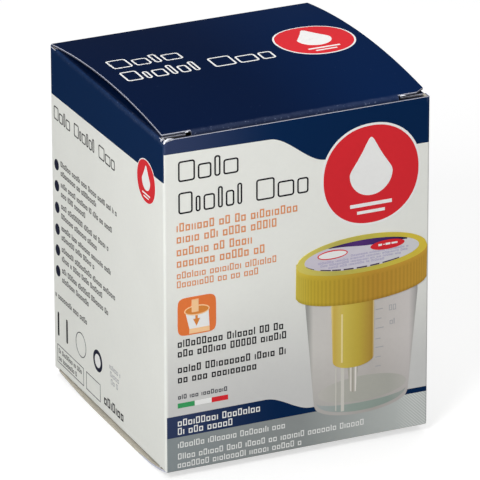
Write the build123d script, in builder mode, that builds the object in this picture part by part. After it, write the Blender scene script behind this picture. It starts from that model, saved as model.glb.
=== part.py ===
from build123d import *
import os
from math import cos, radians, sin

# A printed folding carton with a tuck closure at each end, and the specimen container in it.
# Millimetres. +Z is up, the front panel faces -Y, and the origin is at the middle of the
# carton, on what it stands on.

# Folding board
board = 0.45
crease_inner_radius = 0.15
dust_crease_inner_radius = 0.3

# Carton, made to the container that it holds
side_room = 3.55
head_room = 5.6
tuck_room = 0.7
glue_flap_width = 12.0
glue_flap_taper = 3.0
glue_flap_end_gap = 3.0
seam_step = 0.3
crushed_corner_length = 2.4
crushed_corner_depth = 0.6

# Closures: a bowed panel from the crease to the fold, then a tuck down inside the far wall
closure_side_gap = 0.4
crease_play = 0.05
panel_play = 0.1
top_crown = 2.85
bottom_sag = 2.0
rest_flat_start = 14.0
rest_flat_length = 26.0
fold_rise = 0.75
fold_play = 0.45
fold_radius = 0.9
tuck_length = 15.0
tuck_lean = 7.5
tuck_side_gap = 1.2
tuck_corner_radius = 8.0
slit_length = 7.0
slit_step = 0.9
slit_width = 0.3
slit_curl_radius = 1.4
short_curl_angle = 35.0
long_curl_angle = 80.0
shoulder_drop = 0.35
clipped_corner_length = 2.3
clipped_corner_depth = 1.4

# Dust flaps, two at each end, with a shoulder that the closure's slits lock on
dust_meeting_gap = 10.0
dust_swing_play = 0.3
dust_notch_play = 0.15
dust_shoulder_width = 6.5
dust_shoulder_step = 2.0
dust_tuck_taper = 3.0
dust_crease_taper = 4.5
dust_corner_radius = 4.0

# Cup
cup_foot_radius = 22.0
cup_neck_radius = 26.4
cup_height = 72.7
cup_wall = 1.2
cup_floor = 1.5
cup_floor_chamfer = 2.0
foot_height = 1.2
foot_width = 1.6
foot_chamfer = 0.7
stop_bead_height = 1.2
stop_bead_depth = 0.9

# Screw lid, with the well that takes a sample tube
skirt_height = 13.8
skirt_wall = 1.2
skirt_play = 0.9
skirt_bead_gap = 0.3
lid_plate = 1.5
lid_rim_height = 0.8
lid_rim_width = 1.8
lid_edge_chamfer = 0.7
rib_count = 60
rib_width = 0.9
rib_depth = 0.5
rib_root = 0.2
rib_end_gap = 1.0
well_radius = 8.4
well_wall = 1.2
well_floor = 1.5
hub_radius = 2.6
hub_height = 4.0
spigot_radius = 1.45
spigot_length = 4.0

# Needle with its sleeve, the straw under the well and the label over it
cannula_radius = 0.5
cannula_wall = 0.2
cannula_above_hub = 17.0
cannula_below_spigot = 1.0
cannula_bevel = 1.6
push_fit_play = 0.05
sleeve_bore_play = 0.5
sleeve_wall = 0.9
sleeve_tip_gap = 1.0
sleeve_tip_chamfer = 0.8
straw_wall = 0.9
straw_length = 12.0
straw_floor_gap = 2.0
label_radius = 19.0
label_thickness = 0.2

# Carton sizes that follow from these
skirt_inner = cup_neck_radius + skirt_play
skirt_outer = skirt_inner + skirt_wall
lid_radius = skirt_outer + rib_depth
container_height = cup_height + lid_plate + lid_rim_height
lean = radians(tuck_lean)
fold_setback = board + fold_play
tuck_reach_in = fold_setback + tuck_length * sin(lean) + board
carton_width = 2 * (lid_radius + side_room + board)
carton_depth = 2 * (lid_radius + tuck_room + tuck_reach_in)
wall_height = container_height + head_room + 2 * board
crease_radius = crease_inner_radius + board
dust_crease_radius = dust_crease_inner_radius + board
front_y = -carton_depth / 2
back_y = carton_depth / 2
side_x = carton_width / 2
base_z = bottom_sag
top_z = base_z + wall_height

# A closure is drawn by its outer face, from the line that it turns on, where two outer faces
# of the board meet: u runs along the panel to its fold, and w points out of the carton
top_crease = Plane((0, back_y, top_z), x_dir=(0, -1, 0), z_dir=(-1, 0, 0))
bottom_crease = Plane((0, front_y, base_z), x_dir=(0, 1, 0), z_dir=(-1, 0, 0))
closure_width = carton_width - 2 * closure_side_gap
fold_u = carton_depth - fold_setback
slit_u = fold_u - slit_step
tuck_end = (fold_u - tuck_length * sin(lean), fold_rise - tuck_length * cos(lean))
# the side walls are cut down beside the crease, as far as the bowed panel runs below their top
crease_slope = (4 * top_crown - fold_rise) / fold_u
crease_notch_length = (board + panel_play) / crease_slope
# the tuck's inner face sweeps past the dust flaps at its nearest distance from the crease
swing_radius = fold_u * cos(lean) - fold_rise * sin(lean) - board
dust_tuck_gap = carton_depth - swing_radius + dust_swing_play
dust_crease_gap = crease_notch_length + dust_notch_play
dust_flap_length = (carton_width - dust_meeting_gap) / 2

# Levels in the container, which stands on the bottom dust flaps
cup_z = base_z + board
cup_floor_z = cup_z + foot_height + cup_floor
rim_z = cup_z + cup_height
plate_z = rim_z + lid_plate
lid_top_z = plate_z + lid_rim_height
skirt_z = lid_top_z - skirt_height
bead_z = skirt_z - skirt_bead_gap - stop_bead_height
straw_foot_z = cup_floor_z + straw_floor_gap
well_underside_z = straw_foot_z + straw_length
well_floor_z = well_underside_z + well_floor
hub_z = well_floor_z + hub_height
spigot_z = well_underside_z - spigot_length
bore_radius = cannula_radius + push_fit_play


def cut_crease_room(crease):
    """Mitre the wall's end under the crease, and lower the side walls beside it."""
    floor_w = -board - crease_play
    with BuildSketch(crease) as room:
        Polygon(
            (-board, board - crease_play),
            (board, floor_w),
            (crease_notch_length, floor_w),
            (crease_notch_length, board),
            align=None,
        )
    extrude(room.sketch, amount=carton_width / 2, both=True, mode=Mode.SUBTRACT)


def cut_panel_mitre():
    """Mitre the panel's end, in the profile sketch, to meet the wall's."""
    Polygon(
        (crease_play - board, board),
        (crease_play + 2 * board, -2 * board),
        (crease_play - board, -2 * board),
        align=None,
        mode=Mode.SUBTRACT,
    )


def cut_tuck(crease):
    """Narrow the tuck and round its leading corners, seen along the panel."""
    cut_bottom = tuck_end[1] - board
    end_view = Plane(crease.origin, x_dir=(1, 0, 0), z_dir=crease.x_dir)
    with BuildSketch(end_view.offset(tuck_end[0] - 2 * board)) as waste:
        with Locations((0, -shoulder_drop)):
            Rectangle(carton_width, -shoulder_drop - cut_bottom, align=(Align.CENTER, Align.MAX))
        with Locations((0, tuck_end[1])):
            RectangleRounded(
                carton_width - 2 * board - 2 * tuck_side_gap,
                2 * tuck_length,
                tuck_corner_radius,
                align=(Align.CENTER, Align.MIN),
                mode=Mode.SUBTRACT,
            )
    extrude(waste.sketch, amount=fold_u - tuck_end[0] + 3 * board, mode=Mode.SUBTRACT)


def cut_slits(crease, left_curl, right_curl):
    """Free the panel's corners from the tuck by a slit at each end, curled at its inner end."""
    plan = Plane(crease.origin, x_dir=crease.x_dir, z_dir=crease.y_dir)
    height = fold_rise + shoulder_drop + board
    with BuildSketch(plan.offset(-shoulder_drop)) as slits:
        for side in (-1, 1):
            with Locations((slit_u, side * closure_width / 2)):
                Rectangle(4 * slit_step, 2 * slit_length, align=(Align.MIN, Align.CENTER))
        for side, curl in ((-1, left_curl), (1, right_curl)):
            centre = (slit_u - slit_curl_radius, side * (closure_width / 2 - slit_length))
            SlotArc(CenterArc(centre, slit_curl_radius, 0, -side * curl), slit_width)
    extrude(slits.sketch, amount=height, mode=Mode.SUBTRACT)


# Carton walls, dust flaps and glue flap: one blank, folded and glued
with BuildPart() as carton_body:
    with BuildSketch(Plane.XY.offset(base_z)) as wall_section:
        RectangleRounded(carton_width, carton_depth, crease_radius)
        # the back panel's raw edge laps the crease of the glue flap
        with Locations((side_x, back_y)):
            Rectangle(crease_radius, crease_radius, align=(Align.MAX, Align.MAX))
            Rectangle(seam_step, board, align=(Align.MAX, Align.MAX), mode=Mode.SUBTRACT)
        seam = wall_section.vertices().sort_by_distance((side_x, back_y - board))[0]
        chamfer(seam, seam_step * 0.6)
        RectangleRounded(
            carton_width - 2 * board,
            carton_depth - 2 * board,
            crease_radius - board,
            mode=Mode.SUBTRACT,
        )
    extrude(amount=wall_height)
    # glue flap, bonded inside the back panel
    with BuildSketch(Plane.XZ.offset(board - back_y)):
        Polygon(
            (side_x - board, base_z + glue_flap_end_gap),
            (side_x - board, top_z - glue_flap_end_gap),
            (side_x - board - glue_flap_width, top_z - glue_flap_end_gap - glue_flap_taper),
            (side_x - board - glue_flap_width, base_z + glue_flap_end_gap + glue_flap_taper),
            align=None,
        )
    extrude(amount=board)
    cut_crease_room(top_crease)
    cut_crease_room(bottom_crease)
    # dust flaps, drawn in plan with y running in from the wall that the tuck goes behind
    crease_run = carton_depth - dust_tuck_gap - dust_crease_gap
    for tuck_wall_y, level, outward_z in ((front_y, top_z, 1), (back_y, base_z, -1)):
        plan = Plane((0, tuck_wall_y, level), x_dir=(1, 0, 0), z_dir=(0, 0, outward_z))
        end_view = Plane(plan.origin, x_dir=(1, 0, 0), z_dir=plan.y_dir)
        for side in (-1, 1):
            crease_x = side * (side_x - dust_crease_radius)
            shoulder_x = side * (side_x - dust_shoulder_width)
            free_x = side * (side_x - dust_flap_length)
            # the wall's square top gives way to the rounded crease
            with BuildSketch(end_view.offset(dust_tuck_gap)):
                with Locations((side * side_x, 0)):
                    Rectangle(2 * dust_crease_radius, 2 * dust_crease_radius)
            extrude(amount=crease_run, mode=Mode.SUBTRACT)
            with BuildSketch(end_view.offset(dust_tuck_gap)):
                with Locations((crease_x, dust_crease_radius)):
                    Circle(dust_crease_radius)
                    Circle(dust_crease_radius - board, mode=Mode.SUBTRACT)
                with Locations((side * (side_x - dust_crease_radius / 2), dust_crease_radius / 2)):
                    Rectangle(dust_crease_radius, dust_crease_radius, mode=Mode.INTERSECT)
            extrude(amount=crease_run)
            with BuildSketch(plan) as dust_flap:
                Polygon(
                    (crease_x, dust_tuck_gap),
                    (shoulder_x, dust_tuck_gap),
                    (shoulder_x, dust_tuck_gap + dust_shoulder_step),
                    (free_x, dust_tuck_gap + dust_shoulder_step + dust_tuck_taper),
                    (free_x, carton_depth - dust_crease_gap - dust_crease_taper),
                    (crease_x, carton_depth - dust_crease_gap),
                    align=None,
                )
                free_corners = dust_flap.vertices().sort_by_distance((0, carton_depth / 2))[:2]
                fillet(free_corners, dust_corner_radius)
            extrude(amount=-board)
    # front left corner, crushed at the top
    with BuildSketch(Plane.XZ.offset(-front_y)):
        Polygon(
            (-side_x, top_z - crushed_corner_depth),
            (-side_x, top_z),
            (-side_x + crushed_corner_length, top_z),
            align=None,
        )
    extrude(amount=-board, mode=Mode.SUBTRACT)

# Top closure, bowed outwards in one arch
with BuildPart() as top_flap:
    with BuildSketch(top_crease):
        with BuildLine() as top_line:
            ThreePointArc((0, 0), (fold_u / 2, top_crown), (fold_u, fold_rise))
            Line((fold_u, fold_rise), tuck_end)
            fillet(top_line.vertices(), fold_radius)
            offset(amount=board, side=Side.RIGHT)
        make_face()
        cut_panel_mitre()
    extrude(amount=closure_width / 2, both=True)
    cut_tuck(top_crease)
    cut_slits(top_crease, short_curl_angle, long_curl_angle)
    # the free corner on the right is clipped
    with BuildSketch(Plane(top_crease.origin, x_dir=top_crease.x_dir, z_dir=top_crease.y_dir)):
        Polygon(
            (slit_u, closure_width / 2 - clipped_corner_length),
            (slit_u, closure_width / 2),
            (slit_u - clipped_corner_depth, closure_width / 2),
            align=None,
        )
    extrude(amount=top_crown, mode=Mode.SUBTRACT)

# Bottom closure, sagging to a flat on which the carton stands
with BuildPart() as bottom_flap:
    with BuildSketch(bottom_crease):
        with BuildLine() as bottom_line:
            flat_start = (rest_flat_start, bottom_sag)
            flat_end = (rest_flat_start + rest_flat_length, bottom_sag)
            TangentArc(flat_start, (0, 0), tangent=(-1, 0))
            Line(flat_start, flat_end)
            TangentArc(flat_end, (fold_u, fold_rise), tangent=(1, 0))
            Line((fold_u, fold_rise), tuck_end)
            fold_corner = bottom_line.vertices().sort_by_distance((fold_u, fold_rise))[0]
            fillet(fold_corner, fold_radius)
            offset(amount=board, side=Side.LEFT)
        make_face()
        cut_panel_mitre()
    extrude(amount=closure_width / 2, both=True)
    cut_tuck(bottom_crease)
    cut_slits(bottom_crease, short_curl_angle, short_curl_angle)

# Cup with a standing ring, a tapered wall and a straight neck
with BuildPart() as specimen_cup:
    with BuildSketch(Plane.XZ) as cup_section:
        with BuildLine():
            Polyline(
                (cup_foot_radius, cup_z),
                (cup_neck_radius, bead_z),
                (cup_neck_radius, rim_z),
                (cup_neck_radius - cup_wall, rim_z),
                (cup_neck_radius - cup_wall, bead_z),
                (cup_foot_radius - cup_wall, cup_floor_z),
                (0, cup_floor_z),
                (0, cup_z + foot_height),
                (cup_foot_radius - foot_width, cup_z + foot_height),
                (cup_foot_radius - foot_width, cup_z),
                close=True,
            )
        make_face()
        inner_corner = cup_section.vertices().sort_by_distance(
            (cup_foot_radius - cup_wall, cup_floor_z)
        )[0]
        chamfer(inner_corner, cup_floor_chamfer)
        outer_corner = cup_section.vertices().sort_by_distance((cup_foot_radius, cup_z))[0]
        chamfer(outer_corner, foot_chamfer)
    revolve(axis=Axis.Z)
    # bead that the lid's skirt stops over
    with BuildSketch(Plane.XZ):
        with Locations((cup_neck_radius - cup_wall / 2, bead_z)):
            Rectangle(
                cup_wall / 2 + stop_bead_depth, stop_bead_height, align=(Align.MIN, Align.MIN)
            )
    revolve(axis=Axis.Z)

# Screw lid: ribbed skirt, recessed plate and the well down to the spigot, moulded in one
with BuildPart() as screw_lid:
    with BuildSketch(Plane.XZ) as lid_section:
        with BuildLine():
            Polyline(
                (skirt_outer, skirt_z),
                (skirt_outer, lid_top_z),
                (skirt_outer - lid_rim_width, lid_top_z),
                (skirt_outer - lid_rim_width, plate_z),
                (well_radius, plate_z),
                (well_radius, well_floor_z),
                (hub_radius, well_floor_z),
                (hub_radius, hub_z),
                (bore_radius, hub_z),
                (bore_radius, spigot_z),
                (spigot_radius, spigot_z),
                (spigot_radius, well_underside_z),
                (well_radius + well_wall, well_underside_z),
                (well_radius + well_wall, rim_z),
                (skirt_inner, rim_z),
                (skirt_inner, skirt_z),
                close=True,
            )
        make_face()
        rim_corner = lid_section.vertices().sort_by_distance((skirt_outer, lid_top_z))[0]
        chamfer(rim_corner, lid_edge_chamfer)
    revolve(axis=Axis.Z)
    # grip ribs
    with Locations((0, 0, skirt_z + rib_end_gap)):
        with PolarLocations(skirt_outer - rib_root, rib_count):
            Box(
                rib_depth + rib_root,
                rib_width,
                skirt_height - lid_edge_chamfer - 2 * rib_end_gap,
                align=(Align.MIN, Align.CENTER, Align.MIN),
            )

# Needle: a steel tube with a bevelled tip
with BuildPart() as cannula:
    cannula_tip_z = hub_z + cannula_above_hub
    cannula_foot_z = spigot_z - cannula_below_spigot
    with BuildSketch(Plane.XY.offset(cannula_foot_z)):
        Circle(cannula_radius)
        Circle(cannula_radius - cannula_wall, mode=Mode.SUBTRACT)
    extrude(amount=cannula_tip_z - cannula_foot_z)
    with BuildSketch(Plane.XZ):
        Polygon(
            (-cannula_radius, cannula_tip_z),
            (cannula_radius, cannula_tip_z),
            (cannula_radius, cannula_tip_z - cannula_bevel),
            align=None,
        )
    extrude(amount=cannula_radius, both=True, mode=Mode.SUBTRACT)

# Rubber sleeve standing on the hub, closed over the needle's tip
with BuildPart() as rubber_sleeve:
    sleeve_bore = cannula_radius + sleeve_bore_play
    sleeve_radius = sleeve_bore + sleeve_wall
    bore_top_z = cannula_tip_z + sleeve_tip_gap
    sleeve_top_z = bore_top_z + sleeve_wall
    with BuildSketch(Plane.XZ):
        with BuildLine():
            Polyline(
                (sleeve_bore, hub_z),
                (sleeve_radius, hub_z),
                (sleeve_radius, sleeve_top_z - sleeve_tip_chamfer),
                (sleeve_radius - sleeve_tip_chamfer, sleeve_top_z),
                (0, sleeve_top_z),
                (0, bore_top_z),
                (sleeve_bore, bore_top_z),
                close=True,
            )
        make_face()
    revolve(axis=Axis.Z)

# Straw pushed over the spigot, against the underside of the well
with BuildPart() as straw:
    straw_bore = spigot_radius + push_fit_play
    with BuildSketch(Plane.XY.offset(straw_foot_z)):
        Circle(straw_bore + straw_wall)
        Circle(straw_bore, mode=Mode.SUBTRACT)
    extrude(amount=straw_length)

# Round label stuck on the lid's plate, over the mouth of the well
with BuildPart() as lid_label:
    with BuildSketch(Plane.XY.offset(plate_z)):
        Circle(label_radius)
    extrude(amount=label_thickness)

pieces = {
    "carton_body": carton_body,
    "top_flap": top_flap,
    "bottom_flap": bottom_flap,
    "specimen_cup": specimen_cup,
    "screw_lid": screw_lid,
    "cannula": cannula,
    "rubber_sleeve": rubber_sleeve,
    "straw": straw,
    "lid_label": lid_label,
}

os.makedirs("parts", exist_ok=True)
for name, piece in pieces.items():
    piece.part.label = name
    export_step(piece.part, f"parts/{name}.step")
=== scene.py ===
from math import cos, hypot, pi, radians, sin

import bpy
import numpy as np
from mathutils import Matrix, Vector


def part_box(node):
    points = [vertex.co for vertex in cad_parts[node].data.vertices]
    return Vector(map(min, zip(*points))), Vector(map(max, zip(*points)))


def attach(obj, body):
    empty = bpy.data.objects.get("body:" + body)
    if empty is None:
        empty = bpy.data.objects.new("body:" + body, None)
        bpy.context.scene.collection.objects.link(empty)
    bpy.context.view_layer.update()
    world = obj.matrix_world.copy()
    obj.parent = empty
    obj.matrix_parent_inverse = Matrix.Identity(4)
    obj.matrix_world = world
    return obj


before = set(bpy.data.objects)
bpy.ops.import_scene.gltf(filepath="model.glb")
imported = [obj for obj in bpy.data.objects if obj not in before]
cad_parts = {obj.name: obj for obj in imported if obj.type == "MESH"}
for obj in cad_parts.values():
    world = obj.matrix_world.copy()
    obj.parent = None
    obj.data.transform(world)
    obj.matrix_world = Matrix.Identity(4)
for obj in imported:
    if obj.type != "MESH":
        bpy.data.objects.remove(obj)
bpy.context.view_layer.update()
mm = 0.001

# Carton's faces and its panels' sizes, from its own box. These and all measures of print and
# board below are in millimetres
wall_low, wall_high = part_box("carton_body")
front_y, back_y = wall_low.y / mm, wall_high.y / mm
left_x, right_x = wall_low.x / mm, wall_high.x / mm
base_z, top_z = wall_low.z / mm, wall_high.z / mm
panel_width = right_x - left_x
panel_depth = back_y - front_y
wall_height = top_z - base_z

# How far the first layer of print stands proud of the board, and each later one of the last
ink_lift = 0.03
overprint_lift = 0.02

# How deep the print's colour is taken to reach from a wall's face, and how deep a cut edge
# shows: a little less and a little more than the board's thickness
skin_depth = 0.36
cut_depth = 0.47

# How much of a face's direction is along an axis, at the least, if it is turned that way
turned = 0.3

# Arch of the top closure, seen from the side, through its crease, its middle and its fold
fold_setback = 0.9
fold_rise = 0.75
middle_rise = 2.85
fold_run = panel_depth - fold_setback
arch_terms = np.array([[fold_run, 2 * middle_rise], [2 * fold_run, 2 * fold_rise]])
arch_sums = np.array([(fold_run / 2) ** 2 + middle_rise**2, fold_run**2 + fold_rise**2])
arch_centre_run, arch_centre_rise = np.linalg.solve(arch_terms, arch_sums).tolist()
arch_radius = hypot(arch_centre_run, arch_centre_rise)


def srgb(red, green, blue):
    """Linear colour, with an alpha of 1, of a screen colour given from 0 to 255."""
    value = np.array([red, green, blue]) / 255
    linear = np.where(value <= 0.04045, value / 12.92, ((value + 0.055) / 1.055) ** 2.4)
    return (*linear.tolist(), 1.0)


def maths(operation, reverse=False):
    """An operator of fields: it adds one maths node, its values in reverse if asked."""

    def operator(*values):
        return values[0].graph.calc(operation, *(values[::-1] if reverse else values))

    return operator


class Field:
    """A value in a shader. Sums, products and comparisons of fields add maths nodes to their
    graph. A mask runs from 0 to 1: & is where both are, and | is where either is."""

    def __init__(self, graph, socket):
        self.graph, self.socket = graph, socket

    __add__ = __radd__ = maths("ADD")
    __sub__ = maths("SUBTRACT")
    __rsub__ = maths("SUBTRACT", reverse=True)
    __mul__ = __and__ = maths("MULTIPLY")
    __truediv__ = maths("DIVIDE")
    __lt__ = maths("LESS_THAN")
    __gt__ = maths("GREATER_THAN")
    __or__ = maths("MAXIMUM")
    __abs__ = maths("ABSOLUTE")


class Graph:
    """Adds shader nodes to a tree and joins them."""

    def __init__(self, tree):
        self.tree = tree

    def join(self, socket, value):
        if isinstance(value, Field):
            self.tree.links.new(value.socket, socket)
        else:
            socket.default_value = value

    def feed(self, node, **values):
        """Sets or joins a node's inputs. An underscore in a name stands for a space."""
        for name, value in values.items():
            self.join(node.inputs[name.replace("_", " ")], value)

    def node(self, kind, inputs=None, **settings):
        """Adds a node, its inputs given by name or number."""
        node = self.tree.nodes.new(kind)
        for name, value in settings.items():
            setattr(node, name, value)
        for name, value in (inputs or {}).items():
            self.join(node.inputs[name], value)
        return node

    def value(self, kind, inputs=None, output=0, **settings):
        """Adds a node and returns one of its outputs."""
        return Field(self, self.node(kind, inputs, **settings).outputs[output])

    def calc(self, operation, *values):
        return self.value("ShaderNodeMath", dict(enumerate(values)), operation=operation)

    def ramp(self, value, start, end, low=0.0, high=1.0, smooth=False):
        """value mapped from start..end to low..high and held at the ends."""
        kind = "SMOOTHSTEP" if smooth else "LINEAR"
        inputs = {0: value, 1: start, 2: end, 3: low, 4: high}
        return self.value("ShaderNodeMapRange", inputs, interpolation_type=kind)

    def mix(self, mask, under, over):
        return self.value("ShaderNodeMix", {0: mask, 6: under, 7: over}, 2, data_type="RGBA")

    def noise(self, vector, scale, detail=2.0, roughness=0.5):
        inputs = {"Vector": vector, "Scale": scale, "Detail": detail, "Roughness": roughness}
        return self.value("ShaderNodeTexNoise", inputs)

    def scaled(self, vector, factor):
        inputs = {0: vector, "Scale": factor}
        return self.value("ShaderNodeVectorMath", inputs, operation="SCALE")

    def length(self, vector):
        return self.value("ShaderNodeVectorMath", {0: vector}, "Value", operation="LENGTH")

    def join_parts(self, x, y):
        return self.value("ShaderNodeCombineXYZ", {0: x, 1: y})

    def parts(self, vector):
        node = self.node("ShaderNodeSeparateXYZ", {0: vector})
        return [Field(self, socket) for socket in node.outputs]

    def bump(self, height, strength, distance):
        inputs = {"Height": height, "Strength": strength, "Distance": distance * mm}
        return self.value("ShaderNodeBump", inputs)

    def group(self, tree, **inputs):
        """Adds a group and returns its outputs by name."""
        node = self.node("ShaderNodeGroup", node_tree=tree)
        self.feed(node, **inputs)
        return {socket.name: Field(self, socket) for socket in node.outputs}

    def colour_stops(self, share, stops):
        """Colour at a share from 0 to 1. A stop is its share, red, green and blue."""
        node = self.node("ShaderNodeValToRGB", {0: share})
        elements = node.color_ramp.elements
        for element, (position, *colour) in zip(elements, (stops[0], stops[-1])):
            element.position, element.color = position, srgb(*colour)
        for position, *colour in stops[1:-1]:
            elements.new(position).color = srgb(*colour)
        return Field(self, node.outputs[0])


def points(x, y, z):
    """Points in metres from coordinates in millimetres, where some may be a single number."""
    return np.stack(np.broadcast_arrays(x, y, z), -1) * mm


def on_front(across, up, lift):
    """Front panel: across from its left edge, up from its foot, lift straight out of it."""
    return points(left_x + across, front_y - lift, base_z + up)


def on_left(across, up, lift):
    """Left panel, seen from outside: across from its back edge, up from its foot."""
    return points(left_x - lift, back_y - across, base_z + up)


def on_top(across, inward, lift):
    """Top panel: across from the left, inward from the front edge, bowed. A point lies at the
    arch's radius plus the lift from the arch's centre, at the run where inward puts it."""
    slope = np.arcsin((panel_depth - inward - arch_centre_run) / arch_radius)
    reach = arch_radius + lift
    y = back_y - arch_centre_run - reach * np.sin(slope)
    return points(left_x + across, y, top_z + arch_centre_rise + reach * np.cos(slope))


# A panel is where its print lies, the body that it rides on, and its slot
front = (on_front, "carton", "body_board")
left_side = (on_left, "carton", "body_board")
top = (on_top, "top_closure", "closure_board")

# Inks by name
inks = {}


def new_object(name, data):
    """An object of the scene that shows the given data."""
    made = bpy.data.objects.new(name, data)
    bpy.context.scene.collection.objects.link(made)
    return made


def finish_piece(name, places, faces, flat, panel, ink):
    """Makes the mesh object, gives each face corner its flat coordinates, and seats it."""
    _, body, slot = panel
    mesh = bpy.data.meshes.new(name)
    mesh.from_pydata(places.reshape(-1, 3), [], faces)
    layer = mesh.uv_layers.new(name="print")
    corners = np.empty(len(mesh.loops), np.int32)
    mesh.loops.foreach_get("vertex_index", corners)
    layer.uv.foreach_set("vector", flat[corners].astype(np.float32).ravel())
    mesh.materials.append(inks[ink])
    piece = new_object(name, mesh)
    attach(piece, body)


def loops_to_faces(first, second):
    """Quads between two closed loops of points, given as rows of point numbers."""
    beside_first = np.roll(first, -1, axis=-1)
    beside_second = np.roll(second, -1, axis=-1)
    return np.stack((first, beside_first, beside_second, second), -1).reshape(-1, 4)


def raise_print(name, flat, faces, rims, panel, layer, ink):
    """A thin piece of print: its faces at their layer's height over the panel, the same ones
    turned over on the board's own face, and the rims that join the two. The point under a
    point has its number plus the number of them all."""
    place = panel[0]
    lift = ink_lift + (layer - 1) * overprint_lift
    places = np.concatenate([place(flat[:, 0], flat[:, 1], side) for side in (lift, 0.0)])
    under = [group[:, ::-1] + len(flat) for group in faces]
    joined = [face for group in (*faces, *under, *rims) for face in group.tolist()]
    finish_piece(name, places, joined, np.tile(flat, (2, 1)), panel, ink)


def patch(name, outline, panel, layer, ink, rings=1):
    """One printed shape. Loop r of n is the outline drawn towards its middle by r / n, and the
    last is closed by a fan."""
    outline = np.asarray(outline)
    count = len(outline)
    middle = outline.mean(0)
    shares = 1 - np.arange(rings) / rings
    loops = middle + shares[:, None, None] * (outline - middle)
    flat = np.concatenate((loops.reshape(-1, 2), middle[None]))
    numbers = np.arange(rings * count).reshape(rings, count)
    faces = [loops_to_faces(numbers[r], numbers[r + 1]) for r in range(rings - 1)]
    hub = np.full(count, len(flat) - 1)
    faces.append(np.stack((numbers[-1], np.roll(numbers[-1], -1), hub), -1))
    rim = loops_to_faces(numbers[0] + len(flat), numbers[0])
    raise_print(name, flat, faces, [rim], panel, layer, ink)


def cut_shapes(name, solids, frames, panel, layer, ink):
    """Many small printed shapes in one piece. Solids are convex outlines; frames are pairs of
    an outline and an inner one with as many points."""
    loops = [np.asarray(group) for group in (solids, *frames) if len(group)]
    flat = np.concatenate([group.reshape(-1, 2) for group in loops])
    size = len(flat)
    ends = np.cumsum([group.shape[0] * group.shape[1] for group in loops])
    numbers = [
        part.reshape(group.shape[:2])
        for part, group in zip(np.split(np.arange(size), ends[:-1]), loops)
    ]
    faces, rims = [], []
    if len(solids):
        outer = numbers.pop(0)
        faces.append(outer)
        rims.append(loops_to_faces(outer + size, outer))
    if numbers:
        outer, inner = numbers
        faces.append(loops_to_faces(outer, inner))
        rims += [loops_to_faces(outer + size, outer), loops_to_faces(inner, inner + size)]
    raise_print(name, flat, faces, rims, panel, layer, ink)


def ellipse(centre, half_width, half_height, count=96):
    turn = np.arange(count) * 2 * pi / count
    return np.array(centre) + np.stack((half_width * np.cos(turn), half_height * np.sin(turn)), -1)


def ellipse_row(centre, half_width, half_height, start, end, count=49):
    """Points of an ellipse whose across runs from start to end: on its upper half where the
    half height is above 0, and on its lower one where it is below."""
    across = np.linspace(start, end, count)
    side = np.clip((across - centre[0]) / half_width, -1, 1)
    return np.stack((across, centre[1] + half_height * np.sqrt(1 - side**2)), -1)


def soft_square(centre, half_width, half_height, power):
    """An ellipse swollen towards its corners: cosine and sine are raised to a power under 1."""
    wave = ellipse((0.0, 0.0), 1.0, 1.0)
    swollen = np.sign(wave) * np.abs(wave) ** power
    return np.array(centre) + swollen * (half_width, half_height)


def strip_between(first, second):
    """Quads between two rows of points that run the same way."""
    return np.stack((first[:-1], first[1:], second[1:], second[:-1]), 1)


def rectangles(boxes, inset=0.0, corner=0.0):
    """Outlines of boxes given as left, right, foot, head: each corner is a quarter circle of
    five points, whose centre stands in from it by the corner's radius."""
    left, right_side, foot, head = np.array(boxes, float).T
    left, right_side, foot, head = left + inset, right_side - inset, foot + inset, head - inset
    if corner == 0.0:
        ring = ((left, foot), (right_side, foot), (right_side, head), (left, head))
        return np.stack([np.stack(pair, -1) for pair in ring], 1)
    radius = np.minimum(corner, np.minimum(right_side - left, head - foot) / 2)[:, None]
    loops = []
    for start, across, up in (
        (pi, left[:, None] + radius, foot[:, None] + radius),
        (1.5 * pi, right_side[:, None] - radius, foot[:, None] + radius),
        (0, right_side[:, None] - radius, head[:, None] - radius),
        (0.5 * pi, left[:, None] + radius, head[:, None] - radius),
    ):
        turn = start + np.linspace(0, pi / 2, 5)
        loops.append(np.stack((across + radius * np.cos(turn), up + radius * np.sin(turn)), -1))
    return np.concatenate(loops, 1)


def cut_boxes(name, boxes, panel, layer, ink, corner=0.0):
    """Full boxes in one piece, each given as left, right, foot, head."""
    cut_shapes(name, rectangles(boxes, corner=corner), [], panel, layer, ink)


def letter_boxes(rows, height, pitch, seed):
    """Boxes that stand in for rows of small print. Each row is a start, an end and a foot. Words
    are 2 to 9 boxes long, one space apart. One box in three is taller, one in four is a bar."""
    chance = np.random.default_rng(seed)
    wide, bars = [], []
    for start, end, foot in rows:
        place = start
        left_in_word = chance.integers(2, 10)
        while place < end - pitch / 2:
            is_bar = chance.random() < 0.25
            width = pitch * (0.2 if is_bar else 0.74)
            head = foot + height * (1.38 if chance.random() < 0.33 else 1.0)
            (bars if is_bar else wide).append((place, place + width, foot, head))
            place += width + pitch * 0.26
            left_in_word -= 1
            if left_in_word == 0:
                place += pitch * 0.6
                left_in_word = chance.integers(2, 10)
    return wide, bars


def print_rows(name, height, pitch, stroke, panel, layer, ink, seed, *rows):
    """Rows of small print as outlined boxes and bars."""
    wide, bars = letter_boxes(rows, height, pitch, seed)
    frames = (rectangles(wide), rectangles(wide, inset=stroke))
    cut_shapes(name, rectangles(bars), frames, panel, layer, ink)


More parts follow.
